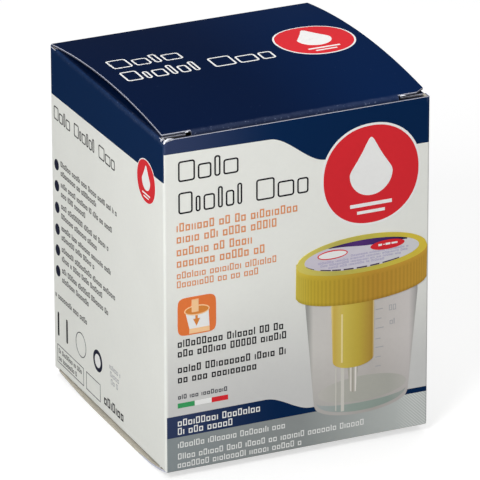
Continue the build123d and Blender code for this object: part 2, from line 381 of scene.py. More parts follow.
def print_title(name, foot, head, stroke, panel, ink, *words):
    """Words of large print as rounded outlines side by side. A word is its start, its end and
    its signs: the share of the width that each takes, and its height in shares of the row's."""
    boxes = []
    gap = 0.07 * (head - foot)
    for start, end, signs in words:
        shares = np.array([share for share, _ in signs])
        edges = start + (end - start) * np.concatenate(((0,), np.cumsum(shares))) / shares.sum()
        for left, right_side, (_, tall) in zip(edges[:-1], edges[1:], signs):
            boxes.append((left + gap, right_side - gap, foot, foot + (head - foot) * tall))
    corner = 0.13 * (head - foot)
    outer = rectangles(boxes, corner=corner)
    inner = rectangles(boxes, inset=stroke, corner=corner / 2)
    cut_shapes(name, [], (outer, inner), panel, 1, ink)


def new_group(name, inputs, outputs):
    """An empty shader group whose sockets are given with their kinds; returns its graph and
    its inputs."""
    tree = bpy.data.node_groups.new(name, "ShaderNodeTree")
    for direction, sockets in (("INPUT", inputs), ("OUTPUT", outputs)):
        for socket_name, kind in sockets.items():
            kind = f"NodeSocket{kind}"
            tree.interface.new_socket(socket_name, in_out=direction, socket_type=kind)
    graph = Graph(tree)
    entry = tree.nodes.new("NodeGroupInput")
    return graph, [Field(graph, entry.outputs[socket_name]) for socket_name in inputs]


def end_group(graph, **results):
    graph.feed(graph.tree.nodes.new("NodeGroupOutput"), **results)
    return graph.tree


def build_fibre_group():
    """Paper surface: a slow cloudiness, a fine mottle and the height of its fibres. Place is in
    millimetres. Tone is 1 on average and strays by Depth."""
    graph, (place, depth) = new_group(
        "paper_fibre", {"Place": "Vector", "Depth": "Float"}, {"Tone": "Float", "Height": "Float"}
    )
    cloud = graph.noise(place, 0.06, 2.0)
    mottle = graph.noise(place, 0.9, 3.0, 0.6)
    fibres = graph.noise(place, 5.0, 3.0, 0.65)
    stray = cloud * 0.6 + mottle * 0.4 - 0.5
    return end_group(graph, Tone=stray * depth + 1.0, Height=mottle * 0.6 + fibres * 0.4)


def build_wear_group():
    """Rubbed ink along a fold: most at the fold and gone at Reach, broken up by noise. Distance
    and Reach are in millimetres. The larger Amount is, the more is rubbed off."""
    graph, (distance, reach, amount, place) = new_group(
        "rubbed_fold",
        {"Distance": "Float", "Reach": "Float", "Amount": "Float", "Place": "Vector"},
        {"Mask": "Float"},
    )
    near = graph.ramp(abs(distance) / reach, 0.0, 1.0, 1.0, 0.0, smooth=True)
    level = near * amount + graph.noise(place, 0.45, 4.0, 0.7)
    return end_group(graph, Mask=graph.ramp(level, 0.62, 1.05) & near)


finish_sockets = {"Color": "Color", "Roughness": "Float", "Height": "Float"}


def build_board_group():
    """Folding board: print on the outer skin and bare grey-brown stock inside. A cut edge shows
    the white liner as far as 0.17 mm from the printed face, and the core below it. Rubbing pales
    the print a little, and more in small spots. Also says how rough each is, and its relief."""
    graph, (printed, skin, cut_edge, depth, core, wear, place) = new_group(
        "folding_board",
        {
            "Print": "Color", "Skin": "Float", "Cut edge": "Float", "Depth": "Float",
            "Core": "Color", "Wear": "Float", "Place": "Vector",
        },
        finish_sockets,
    )
    fibre = graph.group(fibre_group, Place=place, Depth=0.10)
    flecks = graph.ramp(graph.noise(place, 2.6, 4.0, 0.75), 0.35, 0.7)
    stock = graph.mix(flecks, srgb(194, 188, 174), srgb(220, 215, 203))
    layers = graph.noise(place, 7.0, 2.0, 0.6)
    liner = graph.mix(layers, srgb(186, 190, 212), srgb(232, 233, 244))
    edge = graph.mix(graph.ramp(depth, 0.14, 0.20), liner, core)
    spots = graph.ramp(graph.noise(place, 1.7, 3.0, 0.7), 0.60, 0.72, 0.05, 0.35)
    colour = graph.mix(skin, stock, printed)
    colour = graph.mix(wear & skin & spots, colour, srgb(176, 190, 226))
    colour = graph.mix(cut_edge, colour, edge)
    printed_gloss = graph.ramp(fibre["Tone"], 0.95, 1.05, 0.60, 0.70)
    rough = graph.ramp(skin, 0.0, 1.0, 0.85, printed_gloss) | cut_edge * 0.9 | wear * 0.7
    relief = fibre["Height"] * graph.ramp(skin, 0.0, 1.0, 1.0, 0.25)
    colour = graph.scaled(colour, fibre["Tone"])
    return end_group(graph, Color=colour, Roughness=rough, Height=relief)


def build_ink_group():
    """Printed ink: its colour made a little uneven by the paper under it."""
    graph, (colour, place) = new_group(
        "printed_ink", {"Ink": "Color", "Place": "Vector"}, finish_sockets
    )
    fibre = graph.group(fibre_group, Place=place, Depth=0.16)
    rough = graph.ramp(fibre["Tone"], 0.93, 1.07, 0.36, 0.46)
    colour = graph.scaled(colour, fibre["Tone"])
    return end_group(graph, Color=colour, Roughness=rough, Height=fibre["Height"])


fibre_group = build_fibre_group()
wear_group = build_wear_group()
board_group = build_board_group()
ink_group = build_ink_group()

navy = srgb(9, 38, 76)
top_navy = srgb(3, 21, 53)
top_blue = srgb(3, 42, 92)
# Navy made paler, for the painted sheen on the front panel
sheen_navy = srgb(58, 68, 100)
white_board = srgb(236, 237, 231)


def new_material(name):
    """A material whose only shader is one Principled BSDF; returns it with its graph."""
    material = bpy.data.materials.new(name)
    material.use_nodes = True
    return material, Graph(material.node_tree), material.node_tree.nodes["Principled BSDF"]


def place_in_mm(graph):
    """Object coordinates in millimetres."""
    return graph.scaled(graph.value("ShaderNodeTexCoord", output="Object"), 1 / mm)


def facing(graph):
    """The surface's own direction in the object's frame, as three parts."""
    return graph.parts(graph.value("ShaderNodeTexCoord", output="Normal"))


def finish_surface(graph, shader, finish, strength, distance):
    """Joins a group's colour, roughness and height to the shader, with next to no gloss. Its
    relief is distance deep, in millimetres."""
    graph.feed(
        shader,
        Base_Color=finish["Color"],
        Roughness=finish["Roughness"],
        Normal=graph.bump(finish["Height"], strength, distance),
        Specular_IOR_Level=0.02,
    )


def finish_board(graph, shader, **fields):
    finish = graph.group(board_group, **fields)
    finish_surface(graph, shader, finish, strength=0.35, distance=0.05)


def finish_ink(graph, shader, colour, place):
    finish = graph.group(ink_group, Ink=colour, Place=place)
    finish_surface(graph, shader, finish, strength=0.25, distance=0.02)


def rubbed(graph, place, distance, reach, amount):
    fields = {"Distance": distance, "Reach": reach, "Amount": amount, "Place": place}
    return graph.group(wear_group, **fields)["Mask"]


def make_wall_material():
    """Walls of the carton: which panel a point is on follows from the nearest outer face."""
    material, graph, shader = new_material("printed_carton_board")
    place = place_in_mm(graph)
    x, y, z = graph.parts(place)
    upwards = facing(graph)[2]
    across, inward, up = x - left_x, y - front_y, z - base_z
    nearest_side = graph.calc("MINIMUM", across, panel_width - across)
    nearest_end = graph.calc("MINIMUM", inward, panel_depth - inward)
    nearest = graph.calc("MINIMUM", nearest_side, nearest_end)
    on_skin = nearest < skin_depth
    is_front = inward < nearest + 0.001

    # Navy top band. Its edge slopes a little, and drops in a wave on the front panel
    front_level, front_slope, side_level, side_slope = 78.1, 0.02, 71.3, 0.028
    wave_start, wave_end, wave_drop = 26.0, 40.0, 6.9
    drop = graph.ramp(across, wave_start, wave_end, 0.0, wave_drop, smooth=True)
    front_edge = front_level - (graph.calc("MINIMUM", across, wave_end) * front_slope + drop)
    side_edge = inward * -side_slope + side_level
    top_band = up > graph.ramp(is_front, 0.0, 1.0, side_edge, front_edge)
    # Painted sheen: both navy bands on the front panel are paler towards its left edge
    painted_sheen = graph.ramp(across, 0.0, 30.0, 0.75, 0.0, smooth=True)
    band_colour = graph.mix(painted_sheen & is_front, navy, sheen_navy)

    # Lower navy band and the grey field under it, on the front panel. Both stop short of its
    # left fold, where the bare white shows as a line
    field_head, left_head, right_head, white_line = 8.4, 13.7, 9.65, 0.42
    low_head = graph.ramp(across, 25.0, 36.5, left_head, right_head, smooth=True)
    inked = is_front & (across > white_line)
    low_band = (up < low_head) & (up > field_head) & inked
    field = (up < field_head) & inked
    field_colour = graph.mix(
        graph.ramp(across, 0.0, 30.0), srgb(140, 148, 150), srgb(146, 151, 150)
    )
    field_colour = graph.mix(graph.ramp(across, 34.0, 60.0), field_colour, srgb(194, 199, 196))
    hatch_pitch = 0.75
    hatch = graph.calc("SINE", (across + up) * (2 * pi / hatch_pitch))
    hatch = graph.ramp(hatch, 0.1, 0.8) & graph.ramp(across, 57.5, 62.0, 0.0, 0.75)
    field_colour = graph.mix(hatch, field_colour, srgb(226, 228, 226))

    # White ground, greyer towards the foot of the front panel: painted shade
    painted_foot_shade = graph.ramp(up, 12.0, 47.0, 1.0, 0.0, smooth=True) & graph.ramp(across, 0.4, 0.9)
    printed = graph.mix(painted_foot_shade & is_front, white_board, srgb(207, 207, 205))
    printed = graph.mix(low_band, printed, band_colour)
    printed = graph.mix(field, printed, field_colour)
    printed = graph.mix(top_band, printed, band_colour)

    # Dust flaps: navy on the upper pair's outside, white on the lower pair's
    crease_height = 0.8
    over_top = (up > wall_height - crease_height) & (upwards > turned)
    under_foot = (up < crease_height) & (upwards < -turned)
    off_skin = 1.0 - on_skin
    printed = graph.mix(over_top & off_skin, printed, top_navy)
    printed = graph.mix(under_foot & off_skin, printed, white_board)

    # Cut edges: the level ends of the walls, and the upright ends of the dust flaps
    inner_reach = 0.77
    level, upright = abs(upwards) > 0.95, abs(upwards) < turned
    near_end = (up > wall_height - cut_depth) | (up < cut_depth)
    flap_end = upright & (nearest > inner_reach) & near_end
    cut_edge = (level & (nearest < cut_depth)) | flap_end
    flap_depth = graph.calc("MINIMUM", wall_height - up, abs(up))

    # Rubbed folds: the upright ones, and the creases of the upper dust flaps
    corner_round, fold_drop, side_reach = 0.4, 0.6, 0.9
    from_corner = nearest_side + nearest_end - corner_round
    uprights = rubbed(graph, place, from_corner, reach=0.5, amount=0.3)
    dust_fold = rubbed(graph, place, up - (wall_height - fold_drop), reach=1.6, amount=0.5)
    dust_fold = dust_fold & graph.ramp(inward, 0.0, 40.0, 1.0, 0.45) & (nearest_side < side_reach)
    finish_board(
        graph,
        shader,
        Print=printed,
        Skin=on_skin | over_top | under_foot,
        Cut_edge=cut_edge,
        Depth=graph.ramp(flap_end, 0.0, 1.0, nearest, flap_depth),
        # Dark grey core of the cut ends: grey board, darkened as painted shade where the walls'
        # top ends lie under the closure
        Core=srgb(104, 104, 112),
        Wear=uprights | dust_fold,
        Place=place,
    )
    return material


def make_closure_material(name, outer_colour, blue_lift, core, sign, crease_y, crease_z):
    """A closure: printed outside, a little bluer to its right, and bare inside. The lower one
    is the upper one turned over, so run and rise are measured from its own crease, with the
    same sign for both directions."""
    material, graph, shader = new_material(name)
    place = place_in_mm(graph)
    x, y, z = graph.parts(place)
    facing_x, facing_y, facing_z = facing(graph)
    run, rise = (crease_y - y) * sign, (z - crease_z) * sign
    outwards, forwards = facing_z * sign, facing_y * -sign
    side_gap, corner_width, foot_depth, print_depth = 0.4, 7.3, 13.0, 3.5
    half_width = panel_width / 2 - side_gap
    sideways = abs(x)

    # Outer side: the panel, its fold, and the tuck beyond it
    tuck_run = 58.0
    panel_out = (run < fold_run - 0.45) & (outwards > turned)
    tuck_out = (forwards > turned) & (run > tuck_run)
    fold_out = (run > fold_run - 0.9) & (outwards > 0.2)

    # Cut edges: the sides, the tuck's foot, and the ends of the free corners beside the slits
    tuck_foot = (outwards < -0.7) & (rise < -foot_depth)
    corner_end = (sideways > half_width - corner_width) & (forwards > 0.75)
    corner_end = corner_end & (rise > -0.4) & (run < fold_run - 0.3)

    # Print stops a little way down the tuck
    bluer = graph.ramp(x, -10.0, 28.0, smooth=True) * 0.35
    print_colour = graph.mix(bluer, outer_colour, blue_lift)
    printed = graph.mix(rise < -print_depth, print_colour, white_board)

    # Rubbed fold, crease and sides, and a few bare specks. The pale band along the fold is rubbed
    # ink and also a painted highlight
    fold_wear_and_highlight = rubbed(graph, place, run - (fold_run - 0.35), reach=1.6, amount=0.6)
    crease_wear = rubbed(graph, place, run, reach=0.9, amount=0.4)
    side_wear = rubbed(graph, place, half_width - sideways, reach=0.5, amount=0.3)
    specks = graph.ramp(graph.noise(place, 1.3, 2.0, 0.5), 0.74, 0.78, 0.0, 0.8)
    from_centre = graph.join_parts(run - arch_centre_run, rise - arch_centre_rise)
    finish_board(
        graph,
        shader,
        Print=printed,
        Skin=panel_out | tuck_out | fold_out,
        Cut_edge=(abs(facing_x) > 0.6) | tuck_foot | corner_end,
        Depth=arch_radius - graph.length(from_centre),
        Core=core,
        Wear=fold_wear_and_highlight | crease_wear | side_wear | specks,
        Place=place,
    )
    return material


def flat_place(graph):
    """The print's own flat coordinates, in millimetres on its panel."""
    return graph.value("ShaderNodeUVMap", uv_map="print")


def plain_ink(name, *colour):
    inks[name], graph, shader = new_material(name)
    finish_ink(graph, shader, srgb(*colour), flat_place(graph))


def shaded_ink(name, start, end, *stops, low_tone=1.0, low_at=0.0, high_at=1.0):
    """Ink that changes between colour stops from start to end across its panel, and darkens from
    the height high_at down to low_tone at low_at."""
    inks[name], graph, shader = new_material(name)
    place = flat_place(graph)
    across, up, _ = graph.parts(place)
    colour = graph.colour_stops(graph.ramp(across, start, end), stops)
    tone = graph.ramp(up, low_at, high_at, low_tone, 1.0)
    finish_ink(graph, shader, graph.scaled(colour, tone), place)


def ribbed_ink(name, middle, half_width, half_height, rib_turn, *stops):
    """A picture's ribbed skirt, under a rim that is an ellipse. Colour stops run from side to
    side. Darker lines crowd towards its ends, as on a cylinder seen from the side, and start
    about 1.1 mm under the rim's lower edge. The lip, 7 mm under it, is darker."""
    inks[name], graph, shader = new_material(name)
    place = flat_place(graph)
    across, up, _ = graph.parts(place)
    side = graph.ramp(across, middle[0] - half_width, middle[0] + half_width, -0.999, 0.999)
    colour = graph.colour_stops(graph.ramp(side, -1.0, 1.0), stops)
    under_rim = middle[1] - graph.calc("SQRT", 1.0 - side * side) * half_height - up
    wave = graph.calc("SINE", graph.calc("ARCSINE", side) * (2 * pi / rib_turn))
    ribs = graph.ramp(wave, -0.6, 0.8, 0.0, 0.13) & graph.ramp(under_rim, 0.9, 1.4)
    rounding = graph.ramp(under_rim, 0.0, 1.1, 0.08, 0.0, smooth=True)
    lip = graph.ramp(under_rim, 6.6, 7.3, 0.0, 0.16)
    finish_ink(graph, shader, graph.scaled(colour, 1.0 + rounding - (ribs + lip)), place)


def moulded_plastic(name, colour, roughness, transmission=0.0, specks=0.06):
    """Injection-moulded plastic: faint cloudiness, a fine matt grain and flow lines in height."""
    material, graph, shader = new_material(name)
    place = place_in_mm(graph)
    cloud = graph.noise(place, 0.12, 3.0, 0.6)
    grain = graph.noise(place, 6.0, 2.0, 0.6)
    tone = graph.ramp(cloud, 0.3, 0.7, 1.0 - specks, 1.0 + specks / 2)
    graph.feed(
        shader,
        Base_Color=graph.scaled(colour[:3], tone),
        Roughness=graph.ramp(grain, 0.3, 0.7, roughness - 0.05, roughness + 0.05),
        Normal=graph.bump(cloud * 2.0 + grain, 0.2, 0.03),
        Transmission_Weight=transmission,
        IOR=1.49,
    )
    return material


def make_steel_material():
    """Drawn steel: fine lines along the tube in its roughness and relief."""
    material, graph, shader = new_material("drawn_steel")
    drawn_out = {"Vector": place_in_mm(graph), "Scale": (12.0, 12.0, 0.4)}
    lines = graph.noise(graph.value("ShaderNodeMapping", drawn_out), 1.0, 3.0, 0.6)
    graph.feed(
        shader,
        Base_Color=graph.mix(lines, srgb(168, 170, 172), srgb(205, 207, 209)),
        Roughness=graph.ramp(lines, 0.3, 0.7, 0.18, 0.32),
        Normal=graph.bump(lines, 0.15, 0.01),
        Metallic=1.0,
    )
    return material


def make_label_material():
    """The lid's round label: pale lilac paper with a navy rim, a red band across its middle, and
    rows of faint plain bars above and below that."""
    material, graph, shader = new_material("printed_label")
    place = place_in_mm(graph)
    x, y, _ = graph.parts(place)
    flat = graph.join_parts(x, y)
    radius = graph.length(flat)
    row_pitch = 2.4
    colour = graph.mix(graph.ramp(radius, 16.9, 17.1), srgb(222, 216, 230), srgb(30, 50, 100))
    rows = graph.ramp(graph.calc("SINE", y * (2 * pi / row_pitch)), 0.55, 0.65)
    words = graph.ramp(graph.noise(flat, 1.1, 1.0), 0.42, 0.46)
    bars = rows & words & graph.ramp(radius, 12.6, 12.8, 1.0, 0.0) & (abs(y) > 3.0)
    colour = graph.mix(bars * 0.55, colour, srgb(96, 84, 130))
    colour = graph.mix((abs(y) < 2.0) & (abs(x) < 9.0), colour, srgb(196, 48, 52))
    finish_ink(graph, shader, colour, place)
    return material


# The top closure's core, under the thin white liner of its cut edges, is grey board made darker as
# painted shade
top_board = make_closure_material(
    "printed_top_closure", top_navy, top_blue, srgb(92, 94, 106), 1.0, back_y, top_z
)
bottom_board = make_closure_material(
    "plain_bottom_closure", white_board, white_board, srgb(212, 205, 190), -1.0, front_y, base_z
)
for node_name, material in {
    "carton_body": make_wall_material(),
    "top_flap": top_board,
    "bottom_flap": bottom_board,
    "specimen_cup": moulded_plastic("natural_polypropylene", srgb(222, 224, 222), 0.35, 0.6, 0.04),
    "screw_lid": moulded_plastic("yellow_moulding", srgb(214, 168, 42), 0.32),
    "straw": moulded_plastic("natural_straw", srgb(228, 228, 222), 0.3, 0.4, 0.04),
    "rubber_sleeve": moulded_plastic("grey_rubber", srgb(96, 96, 100), 0.6),
    "cannula": make_steel_material(),
    "lid_label": make_label_material(),
}.items():
    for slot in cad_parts[node_name].material_slots:
        slot.material = material

for ink_name, ink_colour in {
    "white_ink": (240, 240, 238),
    "red_ink": (218, 46, 54),
    "black_ink": (30, 29, 34),
    "orange_ink": (222, 148, 100),
    "square_ink": (232, 124, 66),
    "peach_ink": (252, 206, 156),
    "amber_ink": (222, 138, 66),
    "green_ink": (62, 158, 96),
    "grey_ink": (66, 68, 76),
    "bullet_ink": (24, 27, 50),
    "pale_grey_ink": (168, 168, 172),
    "lilac_ink": (170, 164, 196),
    "plum_ink": (66, 48, 78),
    "streak_ink": (212, 210, 202),
    "glint_ink": (236, 220, 158),
    "torn_board": (236, 238, 246),
}.items():
    plain_ink(ink_name, *ink_colour)


def print_badge(name, centre, radius, panel):
    """A plain badge: a white rim, a red field, a white droplet and two bars under it. The
    droplet's outline is a circle whose upper half is drawn out to a point."""
    power, rim_share, drop_share, drop_rise = 0.94, 0.045, 0.43, 0.02
    inner = radius - rim_share * radius
    patch(f"{name}_rim", soft_square(centre, radius, radius, power), panel, 1, "white_ink", 8)
    patch(f"{name}_field", soft_square(centre, inner, inner, power), panel, 2, "red_ink", 8)
    side, rise = ellipse((0.0, 0.0), 1.0, 1.0, 64).T
    lift = np.where(rise > 0, rise**3 * 0.9 + rise * 0.75, rise)
    width = side * np.where(rise > 0, 1 - 0.55 * rise**2, 1.0)
    drop = np.stack((width * drop_share, lift * drop_share + drop_rise), -1)
    patch(f"{name}_drop", np.array(centre) + drop * radius, panel, 3, "white_ink", 4)
    x, y = centre
    bars = [
        (x - half * radius, x + half * radius, y - foot * radius, y - head * radius)
        for half, foot, head in ((0.42, 0.62, 0.55), (0.28, 0.76, 0.70))
    ]
    cut_boxes(f"{name}_bars", bars, panel, 3, "white_ink")


# Signs of the large print: boxes of three widths, tall and low
first_word = ((1.2, 1.0), (1.0, 0.74), (0.55, 1.0), (1.1, 0.74))
second_word = ((1.2, 1.0), (0.55, 0.74), (1.0, 0.74), (0.55, 1.0), (0.8, 0.74), (0.55, 1.0))
third_word = ((1.2, 1.0), (1.1, 0.74), (0.8, 0.74))

# Front panel
print_title("front_title", 71.0, 76.0, 0.38, front, "black_ink", (3.2, 18.7, first_word))
print_title(
    "front_subtitle", 63.2, 68.4, 0.38, front, "black_ink",
    (3.2, 19.6, second_word), (22.3, 36.0, third_word),
)
print_rows(
    "front_orange_rows", 1.5, 1.5, 0.32, front, 1, "orange_ink", 3,
    (3.1, 33.6, 59.0), (3.1, 27.9, 56.2), (3.1, 22.4, 53.1), (3.1, 24.6, 50.3),
)
print_rows(
    "front_orange_small_rows", 1.2, 1.25, 0.24, front, 1, "orange_ink", 5,
    (3.1, 28.8, 47.5), (3.1, 23.9, 45.3),
)
print_rows(
    "front_dark_rows", 1.3, 1.35, 0.3, front, 1, "black_ink", 7,
    (3.2, 29.9, 30.6), (3.2, 30.6, 28.2), (3.2, 30.8, 24.3), (3.2, 23.9, 21.8),
)
print_rows("front_caption", 0.8, 0.95, 0.2, front, 1, "grey_ink", 11, (3.2, 15.5, 17.8))
for number, (start, end, ink) in enumerate((
    (3.1, 7.3, "green_ink"), (7.3, 11.5, "white_ink"), (11.5, 15.6, "red_ink")
)):
    cut_boxes(f"front_bar_{number}", [(start, end, 15.6, 16.8)], front, 1, ink)
print_rows(
    "front_band_rows", 1.2, 1.3, 0.24, front, 1, "white_ink", 13,
    (3.1, 24.3, 11.1), (3.1, 16.4, 9.0),
)
print_rows(
    "front_field_rows", 1.05, 1.15, 0.2, front, 1, "white_ink", 17,
    (3.1, 29.9, 5.7), (3.1, 51.0, 2.85), (3.0, 34.6, 0.7),
)
print_badge("front_badge", (51.25, 65.0), 12.45, front)

# Orange square with a plain cup on it: an open top, a tube and a downward arrow
patch("icon_square", soft_square((7.95, 37.95), 4.75, 4.65, 0.32), front, 1, "square_ink")
cup_sign = [((6.1, 34.8), (11.05, 34.8), (10.85, 39.0), (5.1, 39.0))]
cut_shapes("icon_cup", cup_sign, [], front, 2, "white_ink")
cup_foot = [((6.0, 33.6), (11.1, 33.6), (11.05, 34.8), (6.1, 34.8))]
cut_shapes("icon_foot", cup_foot, [], front, 2, "peach_ink")
patch("icon_rim", ellipse((7.95, 39.2), 3.15, 1.25, 48), front, 3, "peach_ink")
patch("icon_opening", ellipse((7.95, 39.2), 2.85, 0.95, 48), front, 4, "amber_ink")
cut_boxes("icon_tube", [(6.65, 8.35, 38.8, 41.9)], front, 5, "peach_ink")
arrow_head = [((7.0, 37.1), (7.85, 35.3), (8.7, 37.1))]
cut_shapes("icon_arrow_head", arrow_head, [], front, 3, "amber_ink")
cut_boxes("icon_arrow_stem", [(7.55, 8.15, 37.1, 37.9)], front, 3, "amber_ink")

# Inks of the container's picture
shaded_ink(
    "picture_cup", 35.5, 63.0,
    (0.0, 160, 160, 156), (0.05, 206, 203, 198), (0.3, 208, 204, 200),
    (0.6, 198, 193, 188), (0.93, 210, 205, 202), (1.0, 166, 164, 162),
    low_tone=0.80, low_at=8.0, high_at=24.0,
)
shaded_ink(
    "picture_floor", 37.2, 60.8,
    (0.0, 198, 195, 189), (0.4, 180, 180, 171), (0.8, 176, 176, 168), (1.0, 190, 188, 182),
)
shaded_ink(
    "picture_meniscus", 38.0, 60.0,
    (0.0, 172, 178, 178), (0.4, 154, 168, 160), (0.8, 148, 162, 154), (1.0, 168, 172, 168),
)
shaded_ink(
    "picture_well", 41.5, 52.1,
    (0.0, 226, 204, 130), (0.05, 208, 178, 84), (0.18, 214, 190, 100), (0.3, 212, 192, 88),
    (0.62, 200, 176, 74), (0.88, 184, 152, 68), (0.97, 174, 140, 62), (1.0, 222, 202, 150),
    low_tone=0.97, low_at=18.0, high_at=33.0,
)
shaded_ink(
    "picture_nozzle", 45.6, 48.2,
    (0.0, 172, 168, 156), (0.2, 190, 186, 176), (0.3, 236, 232, 226), (0.42, 168, 164, 152),
    (0.62, 186, 182, 172), (0.76, 238, 234, 228), (0.9, 180, 176, 166), (1.0, 168, 164, 154),
)
rim_middle, rim_half_width, rim_half_height = (49.05, 45.25), 16.5, 4.05
ribbed_ink(
    "picture_skirt", rim_middle, rim_half_width, rim_half_height, 0.075,
    (0.0, 210, 190, 78), (0.12, 200, 174, 60), (0.4, 190, 156, 56), (0.6, 188, 144, 56),
    (1.0, 198, 154, 62),
)
shaded_ink(
    "picture_rim", 32.5, 65.7,
    (0.0, 218, 204, 104), (0.3, 190, 180, 92), (0.6, 200, 188, 80), (1.0, 222, 196, 70),
)
shaded_ink(
    "picture_label", 34.6, 63.8, (0.0, 206, 200, 212), (0.5, 212, 208, 218), (1.0, 214, 214, 216)
)
shaded_ink(
    "picture_crescent", 40.0, 61.0,
    (0.0, 40, 38, 74), (0.35, 84, 52, 118), (0.7, 70, 44, 104), (1.0, 28, 30, 64),
)


def picture(name, outline, layer, ink=None):
    """One shape of the picture. Its ink has its own name where no other is given."""
    patch(name, outline, front, layer, ink or name)


# Picture of the container, from its back to its front
cup_outline = np.concatenate((
    ellipse_row((49.0, 9.8), 11.9, -3.9, 37.1, 60.9),
    [(63.2, 34.4), (63.0, 39.0), (35.0, 39.0), (34.9, 35.1)],
))
picture("picture_cup", cup_outline, 1)
picture("picture_floor", ellipse((49.3, 12.2), 11.2, 3.1), 2)
meniscus = strip_between(
    ellipse_row((49.0, 10.4), 11.3, -3.75, 37.75, 60.25),
    ellipse_row((49.0, 10.4), 11.3, -1.75, 37.75, 60.25),
)
cut_shapes("picture_meniscus", meniscus, [], front, 3, "picture_meniscus")
streaks = [(42.5, 42.75, 7.6, 18.4), (43.9, 44.7, 7.2, 18.2)]
cut_boxes("picture_streaks", streaks, front, 4, "streak_ink")
nozzle_outline = ((45.55, 18.6), (46.15, 12.0), (46.9, 11.6), (47.65, 11.7), (48.2, 18.6))
picture("picture_nozzle", nozzle_outline, 5)
well_outline = np.concatenate((
    ellipse_row((46.95, 20.0), 5.15, -2.15, 41.8, 52.1),
    [(52.2, 33.5), (52.2, 36.0), (41.4, 36.0), (41.4, 33.5)],
))
picture("picture_well", well_outline, 6)
cut_boxes("picture_glint", [(43.85, 44.3, 19.5, 31.6)], front, 7, "glint_ink")
tick_start, tick_stroke = 52.6, 0.2
tick_levels = (31.1, 28.75, 26.4, 23.75, 21.6, 19.2, 16.9)
tick_lengths = (1.8, 1.5, 2.1, 1.3, 2.0, 1.4, 1.4)
ticks = [
    (tick_start, tick_start + length, level, level + tick_stroke)
    for level, length in zip(tick_levels, tick_lengths)
]
cut_boxes("picture_ticks", ticks, front, 2, "pale_grey_ink")
print_rows(
    "picture_faint_marks", 1.0, 1.0, 0.15, front, 2, "pale_grey_ink", 37,
    (56.0, 58.2, 30.4), (56.2, 58.0, 26.9),
)
skirt_outline = np.concatenate((
    ellipse_row((48.95, 37.7), rim_half_width, -4.0, 32.5, 65.4),
    [(65.5, 45.1), (49.0, 46.0), (32.6, 45.9)],
))
picture("picture_skirt", skirt_outline, 7)
rim_outline = np.concatenate((
    ellipse_row(rim_middle, rim_half_width, -rim_half_height, 32.56, 65.54),
    ellipse_row(rim_middle, rim_half_width, 5.1, 65.54, 32.56)[1:-1],
))
picture("picture_rim", rim_outline, 8)
label_middle, label_half_width = (49.0, 45.75), 14.4
picture("picture_label", ellipse(label_middle, label_half_width, 3.45), 9)
crescent_head = ellipse_row(label_middle, label_half_width, 3.45, 40.2, 60.8)
fall = np.linspace(0, 1, len(crescent_head))
crescent_foot = np.stack((
    crescent_head[:, 0],
    48.45 - 0.9 * np.sin(fall * pi / 2) + 0.12 * np.sin(fall * 3 * pi),
), -1)
crescent_foot[:, 1] = np.minimum(crescent_foot[:, 1], crescent_head[:, 1])
crescent = strip_between(crescent_foot, crescent_head)[1:-1]
cut_shapes("picture_crescent", crescent, [], front, 10, "picture_crescent")
picture("picture_oval", ellipse((55.4, 47.05), 4.3, 1.15, 48), 11, "red_ink")
oval_bars = [
    (53.1, 54.0, 46.95, 47.45), (54.3, 54.7, 47.1, 47.3), (54.9, 56.1, 46.95, 47.45),
    (56.4, 57.9, 46.98, 47.4),
]
cut_boxes("picture_oval_bars", oval_bars, front, 12, "white_ink")
picture("picture_second_oval", ellipse((41.6, 46.85), 3.8, 1.1, 48), 11, "red_ink")
picture("picture_second_oval_middle", ellipse((41.6, 46.85), 3.5, 0.83, 48), 12, "white_ink")
print_rows(
    "picture_rows", 0.35, 0.62, 0.1, front, 10, "lilac_ink", 41,
    (46.2, 61.0, 45.6), (38.0, 60.6, 44.9), (38.6, 58.8, 44.2), (40.6, 55.4, 43.5),
)
dash_spans = (
    (35.0, 37.0), (38.6, 41.2), (41.5, 43.7), (44.4, 46.9), (47.7, 50.3), (51.1, 53.4),
    (54.2, 58.4),
)
dashes = np.concatenate([
    strip_between(*(
        ellipse_row(label_middle, label_half_width, half_height, start, end, 9)
        for half_height in (-3.4, -3.08)
    ))
    for start, end in dash_spans
])
cut_shapes("picture_dashes", dashes, [], front, 10, "plum_ink")


def from_front(rows):
    """Rows of the left panel whose ends are measured from its front edge, turned round to run
    from its back edge."""
    return [(panel_depth - back, panel_depth - near, *rest) for back, near, *rest in rows]


# Left panel
print_title("left_title", 63.8, 67.1, 0.3, left_side, "black_ink", *from_front((
    (64.3, 54.2, first_word), (52.2, 39.8, second_word), (37.6, 27.8, third_word)
)))
for number, foot in enumerate((52.5, 47.2, 41.7, 36.2, 30.9, 25.6)):
    bullet = ellipse((panel_depth - 62.9, foot), 1.35, 1.35, 32)
    patch(f"left_bullet_{number}", bullet, left_side, 1, "bullet_ink")
print_rows("left_rows", 0.95, 1.12, 0.2, left_side, 1, "black_ink", 19, *from_front((
    (60.4, 27.2, 53.0), (60.4, 37.9, 50.7), (60.4, 29.9, 47.8), (60.4, 46.0, 45.4),
    (60.4, 31.8, 42.4), (60.4, 39.0, 39.9), (60.4, 30.6, 36.9), (60.4, 41.0, 34.5),
    (60.4, 28.4, 31.5), (60.4, 36.5, 29.1), (60.4, 33.0, 26.1), (60.4, 44.0, 23.7),
    (64.7, 45.0, 18.6),
)))
print_badge("left_badge", (panel_depth - 9.8, 68.2), 5.3, left_side)
frames = from_front(((64.0, 48.0, 2.0, 6.6), (46.5, 38.0, 2.0, 6.5)))
frame_pair = (rectangles(frames), rectangles(frames, inset=0.18))
cut_shapes("left_frames", [], frame_pair, left_side, 1, "grey_ink")
ring_middle = (panel_depth - 49.5, 12.0)
ring_pair = [ellipse(ring_middle, radius, radius, 48)[None] for radius in (3.1, 2.9)]
cut_shapes("left_ring", [], ring_pair, left_side, 1, "grey_ink")
